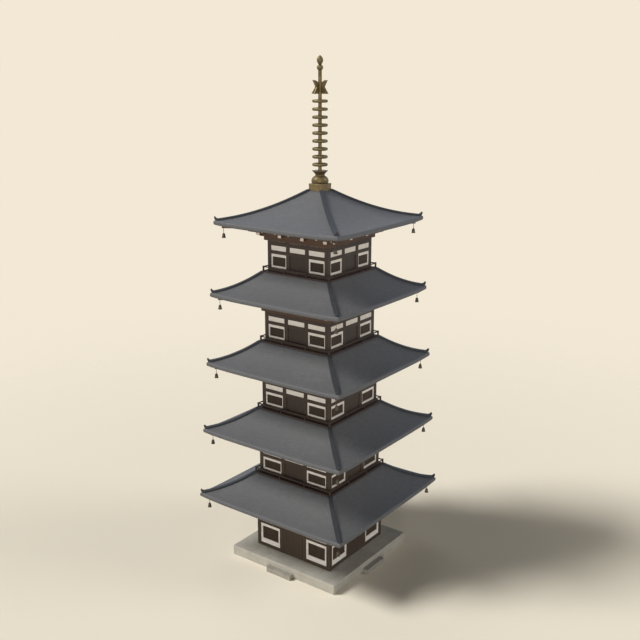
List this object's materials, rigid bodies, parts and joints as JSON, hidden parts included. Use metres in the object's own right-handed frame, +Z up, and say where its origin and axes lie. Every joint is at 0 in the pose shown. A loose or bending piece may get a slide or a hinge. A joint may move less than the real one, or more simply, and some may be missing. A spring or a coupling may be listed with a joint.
{
  "type": "five-storey pagoda",
  "caption": "Square timber pagoda with tiled hipped roofs, white plaster bays, low balustrades, double doors, wind bells and a ringed bronze spire on a stone platform",
  "frame": {"origin": "centre of the platform's underside, on the ground", "axes": "+Z up, front doors face -Y, +X to the right seen from the front"},
  "size_m": [10.824, 10.824, 31],
  "materials": {
    "stone": "dressed pale stone, matt",
    "dark_timber": "dark brown stained timber",
    "door_boards": "dark brown boards",
    "warm_timber": "warm brown stained timber",
    "plaster": "white lime plaster, matt",
    "roof_tile": "slate grey fired tile, low sheen",
    "bronze": "dull brown bronze"
  },
  "bodies": {
    "pagoda": {"stone_platform": "stone", "front_step": "stone", "right_step": "stone", "back_step": "stone", "left_step": "stone", "ground_storey_frame": "dark_timber", "second_storey_frame": "dark_timber", "second_floor_and_balustrade": "dark_timber", "third_storey_frame": "dark_timber", "third_floor_and_balustrade": "dark_timber", "fourth_storey_frame": "dark_timber", "fourth_floor_and_balustrade": "dark_timber", "fifth_storey_frame": "dark_timber", "fifth_floor_and_balustrade": "dark_timber", "ground_storey_brackets": "warm_timber", "second_storey_brackets": "warm_timber", "third_storey_brackets": "warm_timber", "fourth_storey_brackets": "warm_timber", "fifth_storey_brackets": "warm_timber", "second_storey_plaster_walls": "plaster", "third_storey_plaster_walls": "plaster", "fourth_storey_plaster_walls": "plaster", "fifth_storey_plaster_walls": "plaster", "front_right_corner_wall": "plaster", "back_right_corner_wall": "plaster", "back_left_corner_wall": "plaster", "front_left_corner_wall": "plaster", "ground_storey_upper_wall": "plaster", "ground_roof": "roof_tile", "second_roof": "roof_tile", "third_roof": "roof_tile", "fourth_roof": "roof_tile", "fifth_roof": "roof_tile", "spire_base_box": "bronze", "spire_inverted_bowl": "bronze", "spire_flared_collar": "bronze", "spire_ringed_mast": "bronze", "spire_flame_fins": "bronze", "spire_jewels": "bronze"},
    "front_door_left_leaf": {"front_door_left_leaf": "door_boards"},
    "front_door_right_leaf": {"front_door_right_leaf": "door_boards"},
    "right_door_left_leaf": {"right_door_left_leaf": "door_boards"},
    "right_door_right_leaf": {"right_door_right_leaf": "door_boards"},
    "back_door_left_leaf": {"back_door_left_leaf": "door_boards"},
    "back_door_right_leaf": {"back_door_right_leaf": "door_boards"},
    "left_door_left_leaf": {"left_door_left_leaf": "door_boards"},
    "left_door_right_leaf": {"left_door_right_leaf": "door_boards"}
  },
  "joints": [
    {"name": "front_door_left_leaf_pivot", "type": "hinge", "parent": "pagoda", "child": "front_door_left_leaf", "pos_m": [-0.7373, -2.8425, 1.66], "axis": [0, 0, -1], "range_deg": [0, 95]},
    {"name": "front_door_right_leaf_pivot", "type": "hinge", "parent": "pagoda", "child": "front_door_right_leaf", "pos_m": [0.7373, -2.8425, 1.66], "axis": [0, 0, 1], "range_deg": [0, 95]},
    {"name": "right_door_left_leaf_pivot", "type": "hinge", "parent": "pagoda", "child": "right_door_left_leaf", "pos_m": [2.8425, -0.7373, 1.66], "axis": [0, 0, -1], "range_deg": [0, 95]},
    {"name": "right_door_right_leaf_pivot", "type": "hinge", "parent": "pagoda", "child": "right_door_right_leaf", "pos_m": [2.8425, 0.7373, 1.66], "axis": [0, 0, 1], "range_deg": [0, 95]},
    {"name": "back_door_left_leaf_pivot", "type": "hinge", "parent": "pagoda", "child": "back_door_left_leaf", "pos_m": [0.7373, 2.8425, 1.66], "axis": [0, 0, -1], "range_deg": [0, 95]},
    {"name": "back_door_right_leaf_pivot", "type": "hinge", "parent": "pagoda", "child": "back_door_right_leaf", "pos_m": [-0.7373, 2.8425, 1.66], "axis": [0, 0, 1], "range_deg": [0, 95]},
    {"name": "left_door_left_leaf_pivot", "type": "hinge", "parent": "pagoda", "child": "left_door_left_leaf", "pos_m": [-2.8425, 0.7373, 1.66], "axis": [0, 0, -1], "range_deg": [0, 95]},
    {"name": "left_door_right_leaf_pivot", "type": "hinge", "parent": "pagoda", "child": "left_door_right_leaf", "pos_m": [-2.8425, -0.7373, 1.66], "axis": [0, 0, 1], "range_deg": [0, 95]}
  ]
}
